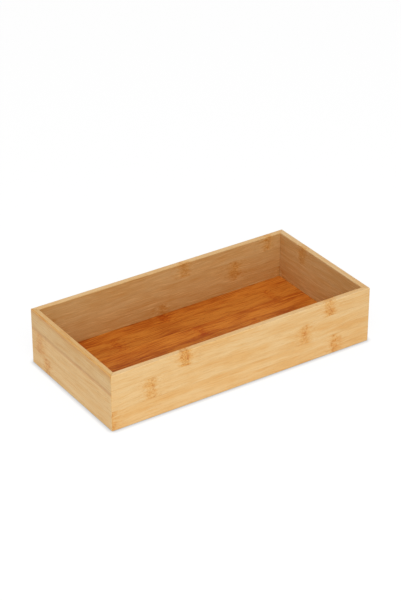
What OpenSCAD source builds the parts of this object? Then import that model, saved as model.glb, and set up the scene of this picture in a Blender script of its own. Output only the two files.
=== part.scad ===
// Open-top bamboo storage box.
// Four wall boards are mitred at the corners and glued round a floor panel, which sits in a groove.
// Every wall board and the floor panel is glued up, edge to edge, from solid bamboo strips.
// Millimetres, +Z up. The origin is the centre of the box on the surface that it stands on.
// +X runs along the long walls, and the front wall faces -Y.

/* [Box] */
// Length over the two end walls
box_length = 300; // [200:1:420]
// Width over the front and back walls
box_width = 150; // [100:1:260]
// Height from the foot to the rim
box_height = 60; // [40:1:120]

/* [Wall boards] */
// Thickness of every wall board
board_thickness = 6.2; // [5:0.1:12]
// Radius of the two eased edges of the rim
rim_radius = 0.8; // [0.3:0.1:2]
// Radius of the two eased edges of the foot
foot_radius = 0.5; // [0.2:0.1:1.2]
// Radius of the four upright outer corners, sanded over the mitres
corner_radius = 1; // [0.3:0.1:3]

/* [Floor panel] */
// Thickness of the floor panel
panel_thickness = 4; // [2.5:0.1:8]
// Height of the panel's underside above the foot
panel_rise = 5; // [3:0.1:20]

/* [Groove and fit] */
// Depth of the groove that holds the panel, cut into the inside of every wall
groove_depth = 3; // [1.5:0.1:4]
// Play over the panel in its groove, so that it slides in
groove_play = 0.2; // [0.05:0.05:0.6]
// Room between the panel's edge and the end of its groove, for the wood to swell
swelling_gap = 0.3; // [0.1:0.1:1]

/* [Hidden] */
// Heights of the glue seams in the long walls, as shares of the box's height
long_wall_seam_shares = [0.355, 0.733];
// Heights of the glue seams in the end walls, as shares of the box's height
end_wall_seam_shares = [0.283, 0.667];
// Places of the glue seams in the floor panel from front to back, as shares of its width
panel_seam_shares = [0, 0.14, 0.285, 0.425, 0.575, 0.71, 0.865, 1];

// The panel reaches into the grooves on all four sides, short of their ends
panel_reach = groove_depth - swelling_gap;
panel_length = box_length - 2 * board_thickness + 2 * panel_reach;
panel_width = box_width - 2 * board_thickness + 2 * panel_reach;
groove_height = panel_thickness + groove_play;

// How far each cutting shape runs past what it cuts
overrun = board_thickness / 2;

// Colours of the strips, from the pale front to the deeper floor
pale_bamboo = [0.92, 0.76, 0.53];
honey_bamboo = [0.89, 0.71, 0.47];
warm_bamboo = [0.85, 0.65, 0.41];
floor_bamboo = [0.83, 0.58, 0.32];

$fn = 48;

// Waste that comes off a square corner when it is rounded.
// The corner is at the origin and the wood lies towards +X and +Y.
module corner_waste(radius) {
    difference() {
        translate([-overrun, -overrun]) square(radius + overrun);
        translate([radius, radius]) circle(radius);
    }
}

// Section across a wall board between two heights: X is the depth behind the outer face, Y the height
module wall_section(low, high) {
    difference() {
        translate([0, low]) square([board_thickness, high - low]);
        eased_rim();
        eased_foot();
        panel_groove();
    }
}

module eased_rim() {
    translate([0, box_height]) mirror([0, 1]) corner_waste(rim_radius);
    translate([board_thickness, box_height]) rotate(180) corner_waste(rim_radius);
}

module eased_foot() {
    corner_waste(foot_radius);
    translate([board_thickness, 0]) mirror([1, 0]) corner_waste(foot_radius);
}

module panel_groove() {
    translate([board_thickness - groove_depth, panel_rise])
        square([groove_depth + overrun, groove_height]);
}

// Plan of a wall board, cut at 45 degrees at both ends, with the outer face on Y = 0.
// The mitres run on past both faces, and the tips are rounded.
module mitred_plan(wall_length) {
    outer_half = wall_length / 2 + overrun;
    inner_half = wall_length / 2 - board_thickness - overrun;
    difference() {
        polygon([
            [-outer_half, -overrun], [outer_half, -overrun],
            [inner_half, board_thickness + overrun], [-inner_half, board_thickness + overrun]
        ]);
        for (side = [0, 1])
            mirror([side, 0]) translate([-wall_length / 2, 0]) corner_waste(corner_radius);
    }
}

// One strip of a wall board, between two heights
module wall_strip(wall_length, low, high) {
    intersection() {
        rotate([90, 0, 90])
            linear_extrude(wall_length + 2 * overrun, center = true) wall_section(low, high);
        translate([0, 0, low - overrun])
            linear_extrude(high - low + 2 * overrun) mitred_plan(wall_length);
    }
}

// Strips are counted from the foot up
module long_wall_strip(index) {
    seams = [0, long_wall_seam_shares[0], long_wall_seam_shares[1], 1] * box_height;
    wall_strip(box_length, seams[index], seams[index + 1]);
}

module end_wall_strip(index) {
    seams = [0, end_wall_seam_shares[0], end_wall_seam_shares[1], 1] * box_height;
    wall_strip(box_width, seams[index], seams[index + 1]);
}

// Each wall turns about the middle of the box to its own side
module at_front() {
    translate([0, -box_width / 2, 0]) children();
}

module at_back() {
    rotate(180) translate([0, -box_width / 2, 0]) children();
}

module at_left() {
    rotate(-90) translate([0, -box_length / 2, 0]) children();
}

module at_right() {
    rotate(90) translate([0, -box_length / 2, 0]) children();
}

// One strip of the floor panel, counted from the front
module panel_strip(index) {
    near_edge = panel_width * (panel_seam_shares[index] - 0.5);
    strip_width = panel_width * (panel_seam_shares[index + 1] - panel_seam_shares[index]);
    translate([-panel_length / 2, near_edge, panel_rise])
        cube([panel_length, strip_width, panel_thickness]);
}

module front_upper_strip() { color(pale_bamboo) at_front() long_wall_strip(2); }
module front_middle_strip() { color(honey_bamboo) at_front() long_wall_strip(1); }
module front_lower_strip() { color(honey_bamboo) at_front() long_wall_strip(0); }

module back_upper_strip() { color(honey_bamboo) at_back() long_wall_strip(2); }
module back_middle_strip() { color(pale_bamboo) at_back() long_wall_strip(1); }
module back_lower_strip() { color(warm_bamboo) at_back() long_wall_strip(0); }

module left_upper_strip() { color(warm_bamboo) at_left() end_wall_strip(2); }
module left_middle_strip() { color(honey_bamboo) at_left() end_wall_strip(1); }
module left_lower_strip() { color(honey_bamboo) at_left() end_wall_strip(0); }

module right_upper_strip() { color(honey_bamboo) at_right() end_wall_strip(2); }
module right_middle_strip() { color(warm_bamboo) at_right() end_wall_strip(1); }
module right_lower_strip() { color(pale_bamboo) at_right() end_wall_strip(0); }

module floor_strip_1() { color(floor_bamboo) panel_strip(0); }
module floor_strip_2() { color(floor_bamboo) panel_strip(1); }
module floor_strip_3() { color(floor_bamboo) panel_strip(2); }
module floor_strip_4() { color(floor_bamboo) panel_strip(3); }
module floor_strip_5() { color(floor_bamboo) panel_strip(4); }
module floor_strip_6() { color(floor_bamboo) panel_strip(5); }
module floor_strip_7() { color(floor_bamboo) panel_strip(6); }

front_upper_strip();
front_middle_strip();
front_lower_strip();
back_upper_strip();
back_middle_strip();
back_lower_strip();
left_upper_strip();
left_middle_strip();
left_lower_strip();
right_upper_strip();
right_middle_strip();
right_lower_strip();
floor_strip_1();
floor_strip_2();
floor_strip_3();
floor_strip_4();
floor_strip_5();
floor_strip_6();
floor_strip_7();
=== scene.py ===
import math
import random
from collections import namedtuple

import bpy
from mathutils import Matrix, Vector


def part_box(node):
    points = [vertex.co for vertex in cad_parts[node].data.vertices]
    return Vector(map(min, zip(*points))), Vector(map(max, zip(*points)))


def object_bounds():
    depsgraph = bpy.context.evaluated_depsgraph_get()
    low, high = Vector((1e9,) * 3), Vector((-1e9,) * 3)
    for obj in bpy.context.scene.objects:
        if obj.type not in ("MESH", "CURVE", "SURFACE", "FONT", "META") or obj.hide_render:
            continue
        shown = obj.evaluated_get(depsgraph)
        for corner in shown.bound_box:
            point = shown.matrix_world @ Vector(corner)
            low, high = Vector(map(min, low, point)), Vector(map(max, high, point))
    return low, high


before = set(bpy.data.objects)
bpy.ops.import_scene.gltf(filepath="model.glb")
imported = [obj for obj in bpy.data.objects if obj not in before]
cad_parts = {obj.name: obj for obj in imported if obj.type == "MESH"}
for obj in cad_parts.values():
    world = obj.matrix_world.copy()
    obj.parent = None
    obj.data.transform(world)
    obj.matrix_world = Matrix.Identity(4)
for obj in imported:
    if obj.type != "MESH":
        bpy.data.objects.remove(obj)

cad_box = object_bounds()

# The wood is described in millimetres, the frame is in metres
MM = 1000.0
X, Y, Z = 0, 1, 2
HALF_LENGTH = cad_box[1][X] * MM
HALF_WIDTH = cad_box[1][Y] * MM
HEIGHT = cad_box[1][Z] * MM
front_low, front_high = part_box("front_upper_strip")
BOARD_THICKNESS = (front_high[Y] - front_low[Y]) * MM


def tint(red, green, blue):
    """A colour as it looks on a screen, 0 to 255, in linear light, by the sRGB curve."""
    def linear(level):
        share = level / 255.0
        return share / 12.92 if share <= 0.04045 else ((share + 0.055) / 1.055) ** 2.4
    return tuple(linear(level) for level in (red, green, blue))


# What each mark makes of the colour under it: factors of red, green and blue in linear light
WARM = (0.94, 0.8, 0.56)
EMBER = (0.78, 0.6, 0.32)
FIBRE = (0.77, 0.62, 0.42)
PORE = (0.5, 0.38, 0.26)
NODE_STAIN = (0.97, 0.81, 0.48)
NODE_STRAND = (0.78, 0.55, 0.26)
DARK_EDGE = (0.77, 0.55, 0.32)
GLUE = (0.62, 0.52, 0.44)
# Painted shade on the inner faces of the walls
PAINTED_INNER_SHADE = (0.78, 0.77, 0.78)
# More painted shade low on the inner faces, towards the floor
PAINTED_LOW_SHADE = (0.93, 0.86, 0.78)
# Paler eased edges: partly wear, partly a painted highlight
WEAR_AND_HIGHLIGHT_TINT = (1.06, 1.1, 1.16)
# A painted sheen, paler and bluer, on the top faces of the rims
PAINTED_RIM_SHEEN = (1.01, 1.05, 1.2)

# The bamboo of each board: its pale and deep colour, how strongly its grain shows, what the
# streaks of its grain make of the colour, how coarse the grain is and how glossy the coat
Board = namedtuple("Board", "pale deep contrast streak coarse gloss")
BOARDS = {
    "front": Board(tint(236, 198, 139), tint(231, 183, 113), 0.95, WARM, 1.0, 0.4),
    "back": Board(tint(234, 192, 129), tint(227, 177, 107), 1.0, WARM, 1.0, 0.4),
    "left": Board(tint(239, 200, 137), tint(231, 184, 112), 1.1, WARM, 1.0, 0.4),
    "right": Board(tint(235, 194, 133), tint(229, 180, 111), 1.0, WARM, 1.0, 0.4),
    "floor": Board(tint(215, 131, 44), tint(187, 95, 15), 1.8, EMBER, 1.8, 0.22),
}

# A smooth step, from start, where a value is at low, to end, where it is at high. Where low is
# the greater of the two, the step is taken as the value falls.
Step = namedtuple("Step", "low high start end", defaults=(0.0, 1.0))


class Socket:
    """A value that flows through a material. Arithmetic on it adds Math nodes."""

    def __init__(self, tree, output):
        self.tree = tree
        self.output = output

    def math(self, operation, *values):
        return self.tree.node("ShaderNodeMath", {"operation": operation}, dict(enumerate(values)))

    def __add__(self, other):
        return self.math("ADD", self, other)

    def __sub__(self, other):
        return self.math("SUBTRACT", self, other)

    def __rsub__(self, other):
        return self.math("SUBTRACT", other, self)

    def __mul__(self, other):
        return self.math("MULTIPLY", self, other)

    def __truediv__(self, other):
        return self.math("DIVIDE", self, other)

    def __abs__(self):
        return self.math("ABSOLUTE", self)

    __radd__ = __add__
    __rmul__ = __mul__


def greatest(first, second):
    """The greater of two values. The first has to flow in a material, the second may be a number."""
    return first.math("MAXIMUM", first, second)


def colour(value):
    """A colour for a socket: a value that flows in, or three numbers made opaque."""
    return value if isinstance(value, Socket) else (*value, 1.0)


# The colour sockets of a Mix node: its two colours, and what comes out
MIX_FIRST, MIX_SECOND, MIX_RESULT = 6, 7, 2

# The level about which a noise from 0 to 1 swings
NOISE_MIDDLE = 0.5

# The greatest part of a face's direction along any axis, on flat faces and on eased edges
EASED = Step(0.995, 0.9)


class Tree:
    """The node tree of one material."""

    def __init__(self, name):
        self.material = bpy.data.materials.new(name)
        self.material.use_nodes = True
        self.nodes = self.material.node_tree.nodes
        self.links = self.material.node_tree.links
        self.nodes.clear()

    def node(self, kind, settings=None, sockets=None, output=0):
        """Adds a node with its settings and the values or links of its sockets."""
        made = self.nodes.new(kind)
        for key, value in (settings or {}).items():
            setattr(made, key, value)
        for key, value in (sockets or {}).items():
            if isinstance(value, Socket):
                self.links.new(value.output, made.inputs[key])
            else:
                made.inputs[key].default_value = value
        return Socket(self, made.outputs[output]) if made.outputs else None

    def parts(self, vector):
        """The three numbers of a vector."""
        split = self.node("ShaderNodeSeparateXYZ", sockets={"Vector": vector})
        return [Socket(self, output) for output in split.output.node.outputs]

    def place(self):
        """The point on the box, in millimetres, as three numbers."""
        return [part * MM for part in self.parts(self.node("ShaderNodeTexCoord", output="Object"))]

    def noise(self, x, y, z, detail=2.0, roughness=0.5):
        """Smooth noise from 0 to 1."""
        point = self.node("ShaderNodeCombineXYZ", sockets={"X": x, "Y": y, "Z": z})
        sockets = {"Vector": point, "Scale": 1.0, "Detail": detail, "Roughness": roughness}
        return self.node("ShaderNodeTexNoise", {"noise_dimensions": "3D"}, sockets)

    def swing(self, noise, reach):
        """Noise as a shift to either side, whose whole swing is reach."""
        return (noise - NOISE_MIDDLE) * reach

    def ramp(self, value, low, high, start=0.0, end=1.0):
        """A smooth step from start, at low, to end, at high."""
        sockets = {"Value": value, "From Min": low, "From Max": high, "To Min": start, "To Max": end}
        return self.node("ShaderNodeMapRange", {"interpolation_type": "SMOOTHSTEP"}, sockets)

    def hump(self, value, centre, width):
        """1 where value is centre, falling smoothly to 0 at width on either side."""
        return self.ramp(abs(value - centre), width, 0.0)

    def under(self, value, face, deep, shallow):
        """1 down to shallow under a face, falling smoothly to 0 at deep under it."""
        return self.ramp(value, face - deep, face - shallow)

    def blend(self, amount, first, second):
        """A colour between first, at 0, and second, at 1."""
        sockets = {"Factor": amount, MIX_FIRST: colour(first), MIX_SECOND: colour(second)}
        return self.node("ShaderNodeMix", {"data_type": "RGBA"}, sockets, MIX_RESULT)

    def shade(self, amount, base, factor):
        """The colour base, multiplied by factor where amount is 1."""
        sockets = {"Factor": amount, MIX_FIRST: base, MIX_SECOND: colour(factor)}
        settings = {"data_type": "RGBA", "blend_type": "MULTIPLY"}
        return self.node("ShaderNodeMix", settings, sockets, MIX_RESULT)

    def eased(self):
        """1 on the eased edges, whose faces look along no axis, and 0 on flat faces."""
        x, y, z = self.parts(self.node("ShaderNodeTexCoord", output="Normal"))
        return self.ramp(greatest(greatest(abs(x), abs(y)), abs(z)), *EASED)


# How far a pattern is moved at most, so that no two strips are alike
FARTHEST_SHIFT = 400.0

# How the fibres wander: over which length and width, and how far, in mm. Beside the culm nodes
# they also swerve.
WANDERINGS = ((95.0, 34.0, 8.0), (24.0, 9.0, 2.4), (9.0, 5.0, 1.2))
SWERVE = (6.0, 4.0, 4.5)

# Each grain: length along the fibres and width across them in mm, detail and roughness
GRAINS = {
    "broad": (180.0, 6.5, 2.0, 0.5),
    "cloud": (40.0, 15.0, 2.0, 0.5),
    "bands": (40.0, 1.9, 3.0, 0.6),
    "lines": (26.0, 0.78, 2.0, 0.6),
    "fibres": (20.0, 0.3, 1.0, 0.5),
    "pores": (4.5, 0.2, 1.0, 0.5),
    "speckle": (4.5, 1.6, 2.0, 0.6),
    "mottle": (6.0, 4.0, 2.0, 0.6),
    "glue": (16.0, 400.0, 2.0, 0.5),
}

# The ground colour drifts from pale to deep with two grains, each with its share
DRIFT_SHARES = {"broad": 0.6, "cloud": 0.4}
DEEPENING = Step(0.35, 0.65)

# Layers over the ground colour: the grain, its level where the layer starts and where it is
# full, the strength, and what the layer makes of the colour. PALE stands for a blend with the
# board's pale colour, and STREAK for the board's own streaks.
PALE, STREAK = "pale", "streak"
LAYERS = (
    ("cloud", 0.5, 0.7, 0.12, STREAK),
    ("bands", 0.52, 0.76, 0.14, STREAK),
    ("bands", 0.47, 0.3, 0.11, PALE),
    ("lines", 0.51, 0.66, 0.78, STREAK),
    ("lines", 0.46, 0.32, 0.55, PALE),
    ("fibres", 0.56, 0.66, 0.42, FIBRE),
    ("pores", 0.66, 0.74, 0.5, PORE),
)

# Patches are streaky, by the level of the bands, and fade with the depth in the board, in mm
PATCH_STREAKS = Step(0.3, 0.62, 0.45, 1.0)
PATCH_SKIN = Step(2.2, 0.3, 0.25, 1.0)

# How deep the painted shade of the inner side and the painted sheen of the rim go, and where they are
# full, in mm
INNER_SHADE_DEPTHS = (0.8, 0.1)
RIM_SHEEN_DEPTHS = (0.6, 0.2)

# Painted shade, deeper low on the inner side, by the height over the foot, in mm
LOW_SHADE_STEP = Step(50.0, 15.0)

# Flecks round the culm nodes: their reach past the mark, in mm, and their strength by the
# level of the speckle
FLECK_REACH = 18.0
WARM_FLECKS = Step(0.52, 0.62, 0.0, 0.9)
PALE_FLECKS = Step(0.47, 0.36, 0.0, 0.35)

# A mark's ragged outline: its sizes across the strip and in depth, and its swing, in mm
RAGGED_SIZES = (1.9, 2.5)
RAGGED_SWING = 4.0

# A mark sways to both sides across the strip: the sizes of the sway and its swing, in mm, and
# the share of it that the stain follows
SWAY_SIZES = (7.0, 7.0)
SWAY_SWING = 8.0
STAIN_SWAY_SHARE = 0.5

# A mark grows unevenly: the sizes of that growth in mm and, by its level, how the mark swells
# and how strong the stain is
GROWTH_SIZES = (5.0, 6.0)
SWELLING = Step(0.3, 0.7, 0.75, 1.3)
GROWTH_STRENGTH = Step(0.35, 0.6, 0.65, 1.0)

# The stain runs out so far past the mark's breadth, in mm, and is full in this share of it
STAIN_EDGE = 2.5
STAIN_CORE_SHARE = 0.2

# A ridge: half its width in mm, its share of the ragged outline, and the share of its own
# sway with which the next ridge sways, to the other side
RIDGE_HALF_WIDTH = 2.4
RIDGE_RAGGED_SHARE = 0.7
NEXT_SWAY_SHARE = -0.6

# Patterns in a mark: sizes along the strip, across it and in depth, in mm, and the strength by
# their level
STRAND_SIZES = (1.5, 2.4, 2.4)
STRANDS = Step(0.48, 0.67, 0.0, 0.8)
THREAD_SIZES = (0.55, 1.5, 1.6)
THREADS = Step(0.6, 0.7, 0.0, 0.5)
BREAK_SIZES = (2.6, 2.0, 2.0)
BREAKS = Step(0.42, 0.6, 0.0, 0.85)

# How much the stain helps threads to show, how it is mottled, and how marks fade with the
# depth in the board, in mm
THREAD_HELP = 0.1
MOTTLE = Step(0.32, 0.58, 0.66, 1.0)
MARK_FADING = Step(0.3, 1.5, 1.0, 0.78)

# Glue shows unevenly along a seam. It is full in this share of the seam's reach.
PATCHY_GLUE = Step(0.35, 0.6, 0.6, 1.0)
SEAM_CORE_SHARE = 0.3

# The line of a mitre, by the distance from it in mm, and its strength
MITRE_LINE = Step(0.22, 0.05)
MITRE_STRENGTH = 0.8

# Relief of the wood: its full height in metres, each grain's share of it, how deep strands sink
# and how far stains stand out, and the groove along a seam, by the distance in mm
RELIEF = 0.00005
RELIEF_SHARES = {"bands": 0.3, "lines": 0.3, "fibres": 0.4}
STRAND_DEPTH = 0.6
STAIN_HEIGHT = 0.3
SEAM_GROOVE = Step(0.3, 0.0, 0.0, 0.3)

# The satin coat: roughness of the wood under it, what the grain and wear add to that, the coat's
# weight as a share of the gloss, its own roughness, and what wear takes of the weight
WOOD_ROUGHNESS = 0.42
GRAIN_ROUGHNESS = 0.14
WORN_ROUGHNESS = 0.1
COAT_SHARE = 0.55
COAT_ROUGHNESS = 0.32
COAT_WEAR = 0.1

# Wear on the eased edges, with a painted highlight, by the level of the clouds, and how strongly the two
# pale them
EDGE_WEAR_AND_HIGHLIGHT = Step(0.35, 0.6, 0.5, 1.0)
WEAR_AND_HIGHLIGHT_STRENGTH = 0.6


class Bamboo(Tree):
    """The bamboo of one strip, laid on layer by layer.

    along runs with the fibres, over across the strip's width and depth in from the outer face of
    the board, all in millimetres. In the floor, depth is the height over its top face instead.
    low and high are the strip's two edges in over."""

    def __init__(self, name, strip, board):
        super().__init__(name)
        self.strip = strip
        self.luck = random.Random(strip.seed)
        self.board = BOARDS[board]
        self.pale = tuple(level * strip.light for level in self.board.pale)
        self.deep = tuple(level * strip.light for level in self.board.deep)

    def shift(self):
        return self.luck.uniform(-FARTHEST_SHIFT, FARTHEST_SHIFT)

    def grain(self, length, width, detail, roughness=0.5):
        """Noise whose features are so long along the fibres and so wide across them."""
        width = width * self.board.coarse
        return self.noise(
            self.along / length + self.shift(), self.fibre / width + self.shift(),
            self.depth / width + self.shift(), detail, roughness,
        )

    def wander(self, length, width, reach):
        """How far the fibres are off their line."""
        return self.swing(self.grain(length, width, detail=1.0), reach)

    def weighted(self, shares):
        """The sum of some grains, each with its share."""
        total = 0.0
        for name, share in shares.items():
            total = self.grains[name] * share + total
        return total

    def lay_fibres(self, along, over, depth, low, high):
        """The fibres wander a little, and swerve at the culm nodes."""
        self.along, self.over, self.depth = along, over, depth
        self.low, self.high = low, high
        self.fibre = over
        aside = 0.0
        for wandering in WANDERINGS:
            aside = self.wander(*wandering) + aside
        self.near = 0.0
        for mark in self.strip.culm_nodes:
            self.near = greatest(self.hump(along, mark.place, mark.breadth + FLECK_REACH), self.near)
        if self.strip.culm_nodes:
            aside = self.wander(*SWERVE) * self.near + aside
        self.fibre = over + aside
        self.grains = {name: self.grain(*sizes) for name, sizes in GRAINS.items()}
        self.relief = self.weighted(RELIEF_SHARES)

    def lay_ground(self, at_rim):
        """The colour of the wood, its patches, painted shade on its inner side, deeper low down, a
        painted sheen on its rim, and the grain over them.
        """
        tone = self.strip.tone
        deepened = self.ramp(self.weighted(DRIFT_SHARES), DEEPENING.low + tone, DEEPENING.high + tone)
        self.base = self.blend(deepened, self.pale, self.deep)
        self.lay_patches()
        # Painted shade on the inner side of the board
        inner_shade = self.under(self.depth, BOARD_THICKNESS, *INNER_SHADE_DEPTHS)
        self.base = self.shade(inner_shade, self.base, PAINTED_INNER_SHADE)
        # More painted shade low down on the inner side, towards the floor
        low_shade = self.ramp(self.over, *LOW_SHADE_STEP)
        self.base = self.shade(inner_shade * low_shade, self.base, PAINTED_LOW_SHADE)
        # A painted sheen on the top faces of the rims
        if at_rim:
            self.base = self.shade(self.under(self.over, HEIGHT, *RIM_SHEEN_DEPTHS), self.base, PAINTED_RIM_SHEEN)
        for name, start, full, strength, makes in LAYERS:
            amount = self.ramp(self.grains[name], start, full) * strength * self.board.contrast
            if makes is PALE:
                self.base = self.blend(amount, self.base, self.pale)
            else:
                factor = self.board.streak if makes is STREAK else makes
                self.base = self.shade(amount, self.base, factor)

    def lay_patches(self):
        """Warm and pale patches, with soft streaky edges."""
        streaky = self.ramp(self.grains["bands"], *PATCH_STREAKS)
        skin = self.ramp(self.depth, *PATCH_SKIN)
        for spot in self.strip.patches:
            patch = self.hump(self.along, spot.place, spot.reach)
            patch = patch * self.hump(self.fibre, spot.height, spot.half_height)
            patch = patch * streaky * skin * abs(spot.strength)
            if spot.strength > 0.0:
                self.base = self.shade(patch, self.base, WARM)
            else:
                self.base = self.blend(patch, self.base, self.pale)

    def lay_flecks(self):
        """Warm and pale flecks round the culm nodes."""
        speckle = self.grains["speckle"]
        self.base = self.shade(self.ramp(speckle, *WARM_FLECKS) * self.near, self.base, WARM)
        self.base = self.blend(self.ramp(speckle, *PALE_FLECKS) * self.near, self.base, self.pale)

    def across(self, width, thickness):
        """The place across the strip and in depth, in units of a pattern's sizes."""
        return self.over / width, self.depth / thickness

    def spot(self, sizes, aside=0.0):
        """The place in the wood in units of a pattern's sizes, moved aside along the strip."""
        length, width, thickness = sizes
        return (self.along + aside) / length, *self.across(width, thickness)

    def lay_culm_nodes(self):
        """Broken ridges and strands across the fibres, in mottled warm stains."""
        shift = self.shift()
        y, z = self.across(*RAGGED_SIZES)
        ragged = self.swing(self.noise(y - shift, z, shift), RAGGED_SWING)
        x, y, z = self.spot(STRAND_SIZES, ragged)
        strands = self.noise(x, y + shift, z + shift, roughness=0.6)
        x, y, z = self.spot(THREAD_SIZES, 0.0 - ragged)
        threads = self.noise(x, y - shift, z + shift, detail=1.0)
        x, y, z = self.spot(BREAK_SIZES)
        breaks = self.ramp(self.noise(x - shift, y + shift, z + shift), *BREAKS)
        stain, ridge = 0.0, 0.0
        for mark in self.strip.culm_nodes:
            own_stain, own_ridge = self.culm_mark(mark, ragged)
            stain, ridge = greatest(own_stain, stain), greatest(own_ridge, ridge)
        fade = self.ramp(self.depth, *MARK_FADING)
        stain = stain * self.ramp(self.grains["mottle"], *MOTTLE) * fade
        strand = greatest(self.ramp(strands, *STRANDS) * stain, ridge * breaks * fade)
        thread = self.ramp(threads + stain * THREAD_HELP, *THREADS) * stain
        self.base = self.shade(stain, self.base, NODE_STAIN)
        self.base = self.shade(strand, self.base, NODE_STRAND)
        self.base = self.shade(thread, self.base, NODE_STRAND)
        self.relief = self.relief - strand * STRAND_DEPTH + stain * STAIN_HEIGHT

    def culm_mark(self, mark, ragged):
        """The stain and the ridges of one culm node, as strong as its mark."""
        own = self.shift()
        y, z = self.across(*SWAY_SIZES)
        sway = self.swing(self.noise(y + own, z, own, detail=1.0), SWAY_SWING)
        y, z = self.across(*GROWTH_SIZES)
        growth = self.noise(y - own, z, own, detail=1.0)
        off_middle = abs(self.along - mark.place - sway * STAIN_SWAY_SHARE - ragged)
        off_middle = off_middle / self.ramp(growth, *SWELLING)
        spread = self.ramp(off_middle, mark.breadth + STAIN_EDGE, mark.breadth * STAIN_CORE_SHARE)
        stain = spread * self.ramp(growth, *GROWTH_STRENGTH) * mark.strength
        ridge = 0.0
        for beside in mark.ridges:
            off_ridge = self.along - mark.place - beside - sway - ragged * RIDGE_RAGGED_SHARE
            ridge = greatest(self.hump(off_ridge, 0.0, RIDGE_HALF_WIDTH) * mark.strength, ridge)
            sway = sway * NEXT_SWAY_SHARE
        return stain, ridge

    def lay_seams(self, half_run):
        """Glue seams with the neighbouring strips, and the mitres at both ends of the board."""
        patchy = self.ramp(self.grains["glue"], *PATCHY_GLUE)
        low_gap, high_gap = self.over - self.low, self.high - self.over
        for gap, seam in ((low_gap, self.strip.low_seam), (high_gap, self.strip.high_seam)):
            glue = self.ramp(gap, seam.reach, seam.reach * SEAM_CORE_SHARE) * patchy
            self.base = self.shade(glue * seam.strength, self.base, seam.makes)
            self.relief = self.relief - self.ramp(gap, *SEAM_GROOVE)
        if half_run:
            mitre = self.ramp(abs(half_run - abs(self.along) - self.depth), *MITRE_LINE)
            self.base = self.shade(mitre * MITRE_STRENGTH, self.base, GLUE)

    def finish(self):
        """Satin clear coat, thinner on the sanded edges, which are paler too, from wear and a painted
        highlight.
        """
        # Paler eased edges, from wear and from a painted highlight; the wear also roughens them and
        # thins the coat
        wear_and_highlight = self.eased() * self.ramp(self.grains["cloud"], *EDGE_WEAR_AND_HIGHLIGHT)
        bump = {"Strength": 1.0, "Distance": RELIEF, "Height": self.relief}
        sockets = {
            "Base Color": self.shade(wear_and_highlight * WEAR_AND_HIGHLIGHT_STRENGTH, self.base, WEAR_AND_HIGHLIGHT_TINT),
            "Roughness": WOOD_ROUGHNESS + self.grains["lines"] * GRAIN_ROUGHNESS + wear_and_highlight * WORN_ROUGHNESS,
            "Normal": self.node("ShaderNodeBump", sockets=bump),
            "Coat Weight": self.board.gloss * COAT_SHARE - wear_and_highlight * COAT_WEAR,
            "Coat Roughness": COAT_ROUGHNESS,
            "Specular IOR Level": self.board.gloss,
        }
        shader = self.node("ShaderNodeBsdfPrincipled", sockets=sockets)
        self.node("ShaderNodeOutputMaterial", sockets={"Surface": shader})
        return self.material


# A culm node: its place along the strip, half its breadth, its strength, and how far beside its
# place its ridges are
CulmNode = namedtuple("CulmNode", "place breadth strength ridges")

# A patch of warmer wood, or of paler wood where the strength is negative: its place along the
# board and its height, and how far it reaches to each side of them
Patch = namedtuple("Patch", "place height reach half_height strength")

# A seam: how far it reaches from the joint, its strength and what it makes of the colour
Seam = namedtuple("Seam", "reach strength makes")
NO_SEAM = Seam(0.3, 0.0, GLUE)
FAINT_SEAM = Seam(0.35, 0.22, GLUE)
DARK_SEAM = Seam(2.8, 0.72, DARK_EDGE)

# A strip: light multiplies its board's colours, and a positive tone makes more of it pale
Strip = namedtuple(
    "Strip", "seed light tone culm_nodes low_seam high_seam patches",
    defaults=((), FAINT_SEAM, FAINT_SEAM, ()),
)

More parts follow.
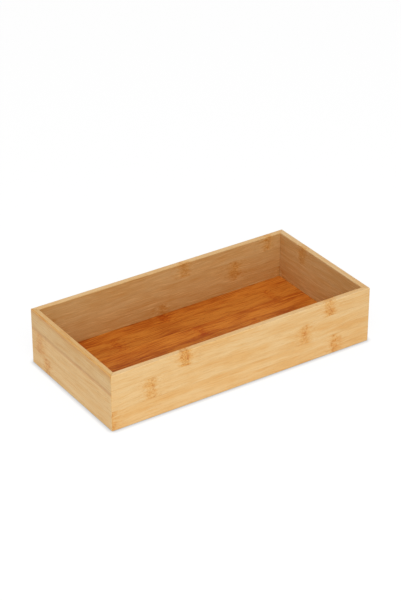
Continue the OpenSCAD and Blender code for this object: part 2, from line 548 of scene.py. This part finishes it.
STRIPS = {
    "front_upper_strip": Strip(
        seed=11, light=0.98, tone=0.02, high_seam=NO_SEAM,
        culm_nodes=(CulmNode(-68.0, 7.0, 1.25, (-3.5, 2.5)), CulmNode(101.0, 7.0, 1.15, (0.5,))),
        patches=(
            Patch(128.0, 52.0, 60.0, 12.0, 0.8), Patch(-130.0, 54.0, 40.0, 9.0, -0.5),
            Patch(-60.0, 51.0, 40.0, 7.0, 0.3), Patch(60.0, 51.0, 50.0, 11.0, 0.7),
        ),
    ),
    "front_middle_strip": Strip(
        seed=12, light=0.99, tone=0.025,
        culm_nodes=(CulmNode(-107.0, 6.5, 0.85, (2.0,)), CulmNode(71.0, 6.5, 0.8, (1.0,))),
        patches=(
            Patch(131.0, 25.0, 34.0, 7.5, 1.9), Patch(-134.0, 36.0, 26.0, 14.0, -0.8),
            Patch(39.0, 35.0, 18.0, 7.0, -1.0), Patch(-27.0, 35.0, 32.0, 8.0, 0.2),
        ),
    ),
    "front_lower_strip": Strip(
        seed=13, light=1.0, tone=-0.035, low_seam=NO_SEAM,
        culm_nodes=(CulmNode(107.0, 4.0, 0.95, (-1.5,)), CulmNode(-150.0, 5.0, 0.8, (1.0,))),
        patches=(
            Patch(124.0, 22.0, 42.0, 4.5, 1.8),
            Patch(-55.0, 20.0, 80.0, 6.0, 0.25), Patch(120.0, 10.0, 50.0, 14.0, 0.2),
            Patch(113.5, 14.0, 5.0, 4.0, 2.2), Patch(113.5, 4.0, 5.5, 4.5, 2.2),
        ),
    ),
    "back_upper_strip": Strip(
        seed=21, light=1.0, tone=0.0, high_seam=NO_SEAM,
        culm_nodes=(CulmNode(24.0, 6.5, 0.8, (-2.0,)), CulmNode(128.0, 6.0, 0.9, (1.5,))),
    ),
    "back_middle_strip": Strip(
        seed=22, light=0.98, tone=0.02,
        culm_nodes=(CulmNode(86.0, 7.0, 0.9, (2.0,)), CulmNode(-132.0, 6.5, 0.8, (-2.0, 3.0))),
    ),
    "back_lower_strip": Strip(
        seed=23, light=0.95, tone=-0.04, low_seam=NO_SEAM,
        culm_nodes=(CulmNode(-2.0, 6.0, 0.9, (0.0,)), CulmNode(146.0, 6.5, 0.8, (-1.0,))),
    ),
    "left_upper_strip": Strip(
        seed=31, light=0.92, tone=-0.01, low_seam=DARK_SEAM, high_seam=NO_SEAM,
        patches=(Patch(0.0, 62.0, 300.0, 7.5, 2.6), Patch(50.0, 62.0, 40.0, 5.0, 1.5)),
    ),
    "left_middle_strip": Strip(
        seed=32, light=1.0, tone=0.0, low_seam=NO_SEAM, high_seam=DARK_SEAM,
        culm_nodes=(CulmNode(60.0, 6.0, 0.65, (2.0,)),),
        patches=(Patch(58.0, 26.0, 20.0, 16.0, 1.0), Patch(14.0, 17.0, 50.0, 5.0, -0.9)),
    ),
    "left_lower_strip": Strip(
        seed=33, light=1.01, tone=0.02, low_seam=NO_SEAM, high_seam=NO_SEAM,
        culm_nodes=(CulmNode(45.0, 6.5, 1.0, (-3.0, 2.5)),),
        patches=(Patch(14.0, 17.0, 50.0, 5.0, -0.9),),
    ),
    "right_upper_strip": Strip(
        seed=41, light=0.97, tone=0.0, high_seam=NO_SEAM, culm_nodes=(CulmNode(30.0, 6.5, 0.9, (1.0,)),),
    ),
    "right_middle_strip": Strip(
        seed=42, light=1.0, tone=-0.02, culm_nodes=(CulmNode(-43.0, 7.0, 0.9, (-2.0, 3.0)),),
    ),
    "right_lower_strip": Strip(
        seed=43, light=0.97, tone=0.02, low_seam=NO_SEAM, culm_nodes=(CulmNode(62.0, 6.0, 0.9, (2.0,)),),
    ),
    "floor_strip_1": Strip(
        seed=51, light=1.0, tone=0.0,
        culm_nodes=(CulmNode(-93.0, 5.5, 0.9, (1.5,)), CulmNode(88.0, 5.0, 0.8, (0.0,))),
    ),
    "floor_strip_2": Strip(
        seed=52, light=0.94, tone=0.03, culm_nodes=(CulmNode(44.0, 5.5, 0.9, (-2.0, 2.0)),),
    ),
    "floor_strip_3": Strip(
        seed=53, light=1.04, tone=-0.03,
        culm_nodes=(CulmNode(-31.0, 5.0, 0.8, (1.0,)), CulmNode(133.0, 5.5, 0.9, (-1.5,))),
    ),
    "floor_strip_4": Strip(
        seed=54, light=0.95, tone=0.02,
        culm_nodes=(CulmNode(-120.0, 5.5, 0.8, (0.5,)), CulmNode(68.0, 6.0, 0.9, (2.0,))),
    ),
    "floor_strip_5": Strip(
        seed=55, light=1.02, tone=-0.02, culm_nodes=(CulmNode(12.0, 5.5, 0.9, (-1.5,)),),
    ),
    "floor_strip_6": Strip(
        seed=56, light=0.93, tone=0.04,
        culm_nodes=(CulmNode(-72.0, 5.0, 0.8, (1.0,)), CulmNode(112.0, 5.5, 0.9, (-2.0,))),
    ),
    "floor_strip_7": Strip(
        seed=57, light=0.98, tone=0.0, culm_nodes=(CulmNode(-6.0, 5.5, 0.9, (1.0,)),),
    ),
}


def dress(node, strip):
    """Gives a strip its own bamboo."""
    board = node.split("_")[0]
    wood = Bamboo(f"{node}_bamboo", strip, board)
    x, y, z = wood.place()
    low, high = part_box(node)
    if board == "floor":
        along, over, depth, across, half_run = x, y, z - high[Z] * MM, Y, 0.0
    elif board in ("front", "back"):
        along, over, depth, across, half_run = x, z, HALF_WIDTH - abs(y), Z, HALF_LENGTH
    else:
        along, over, depth, across, half_run = y, z, HALF_LENGTH - abs(x), Z, HALF_WIDTH
    wood.lay_fibres(along, over, depth, low[across] * MM, high[across] * MM)
    wood.lay_ground("upper" in node)
    if strip.culm_nodes:
        wood.lay_flecks()
        wood.lay_culm_nodes()
    wood.lay_seams(half_run)
    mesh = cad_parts[node].data
    mesh.materials.clear()
    mesh.materials.append(wood.finish())


for node, strip in STRIPS.items():
    dress(node, strip)


# White floor, which keeps the thin shadow round the foot of the box. In metres: half its side,
# its drop below the foot and the reach of the shadow.
FLOOR_HALF = 6.0
FLOOR_DROP = 0.0001
SHADOW_REACH = 0.0052

# Seen directly or in a reflection, the floor glows, less in the shadow than in the open, and
# gives back a share of the light. For the soft light that it throws on the box, it is plain white.
SHADED_GLOW = (0.09, 0.09, 0.09)
OPEN_GLOW = (0.88, 0.88, 0.88)
FLOOR_SHARE = (0.15, 0.15, 0.15)
UNSEEN_FLOOR = (0.8, 0.8, 0.8)


def white_floor():
    near, far = -FLOOR_HALF, FLOOR_HALF
    corners = [(x, y, -FLOOR_DROP) for x, y in ((near, near), (far, near), (far, far), (near, far))]
    mesh = bpy.data.meshes.new("white_floor")
    mesh.from_pydata(corners, [], [(0, 1, 2, 3)])
    floor = bpy.data.objects.new("white_floor", mesh)
    bpy.context.collection.objects.link(floor)
    tree = Tree("white_floor_paint")
    rays = tree.node("ShaderNodeLightPath").output.node.outputs
    seen = greatest(Socket(tree, rays["Is Camera Ray"]), Socket(tree, rays["Is Glossy Ray"]))
    seen = greatest(seen, Socket(tree, rays["Is Transmission Ray"]))
    open_sky = tree.node("ShaderNodeAmbientOcclusion", sockets={"Distance": SHADOW_REACH}, output="AO")
    glow = tree.blend(open_sky, SHADED_GLOW, OPEN_GLOW)
    glow = tree.node("ShaderNodeEmission", sockets={"Color": glow})
    share = tree.node("ShaderNodeBsdfDiffuse", sockets={"Color": colour(FLOOR_SHARE)})
    white = tree.node("ShaderNodeAddShader", sockets={0: glow, 1: share})
    plain = tree.node("ShaderNodeBsdfDiffuse", sockets={"Color": colour(UNSEEN_FLOOR)})
    paint = tree.node("ShaderNodeMixShader", sockets={0: seen, 1: plain, 2: white})
    tree.node("ShaderNodeOutputMaterial", sockets={"Surface": paint})
    mesh.materials.append(tree.material)


def towards(azimuth, elevation):
    """The direction from the box to a lamp or camera, turned from the front and raised."""
    a, e = math.radians(azimuth), math.radians(elevation)
    return Vector((math.sin(a) * math.cos(e), -math.cos(a) * math.cos(e), math.sin(e)))


def face_box(holder, direction):
    """Puts a lamp or camera into the scene, looking against a direction from the box."""
    holder.rotation_mode = "QUATERNION"
    holder.rotation_quaternion = (-direction).to_track_quat("-Z", "Y")
    bpy.context.collection.objects.link(holder)


def soft_lamp(name, azimuth, elevation, distance, size, power):
    """A square area lamp on a sphere round the box, facing it."""
    lamp = bpy.data.lights.new(name, "AREA")
    lamp.shape = "SQUARE"
    lamp.size = size
    lamp.energy = power
    holder = bpy.data.objects.new(name, lamp)
    direction = towards(azimuth, elevation)
    holder.location = direction * distance
    face_box(holder, direction)


def white_world(strength):
    world = bpy.data.worlds.new("white_room")
    world.use_nodes = True
    background = world.node_tree.nodes["Background"]
    background.inputs["Color"].default_value = (1.0, 1.0, 1.0, 1.0)
    background.inputs["Strength"].default_value = strength
    bpy.context.scene.world = world


# The photograph's camera: turn and height of its view, its place in metres, and its lens in mm
VIEW_AZIMUTH = -33.5528
VIEW_ELEVATION = 29.80095
CAMERA_PLACE = (-0.92951, -1.39904, 1.01938)
CAMERA_LENS = 118.28
SENSOR_LONG_SIDE = 36.0


def photograph_camera():
    camera = bpy.data.cameras.new("camera")
    camera.sensor_width = SENSOR_LONG_SIDE
    camera.lens = CAMERA_LENS
    holder = bpy.data.objects.new("camera", camera)
    holder.location = CAMERA_PLACE
    face_box(holder, towards(VIEW_AZIMUTH, VIEW_ELEVATION))
    bpy.context.scene.camera = holder


white_floor()
white_world(strength=0.6)
soft_lamp("key_lamp", azimuth=-26.0, elevation=45.5, distance=1.9, size=1.3, power=18.3)
photograph_camera()
bpy.context.scene.view_settings.view_transform = "Standard"
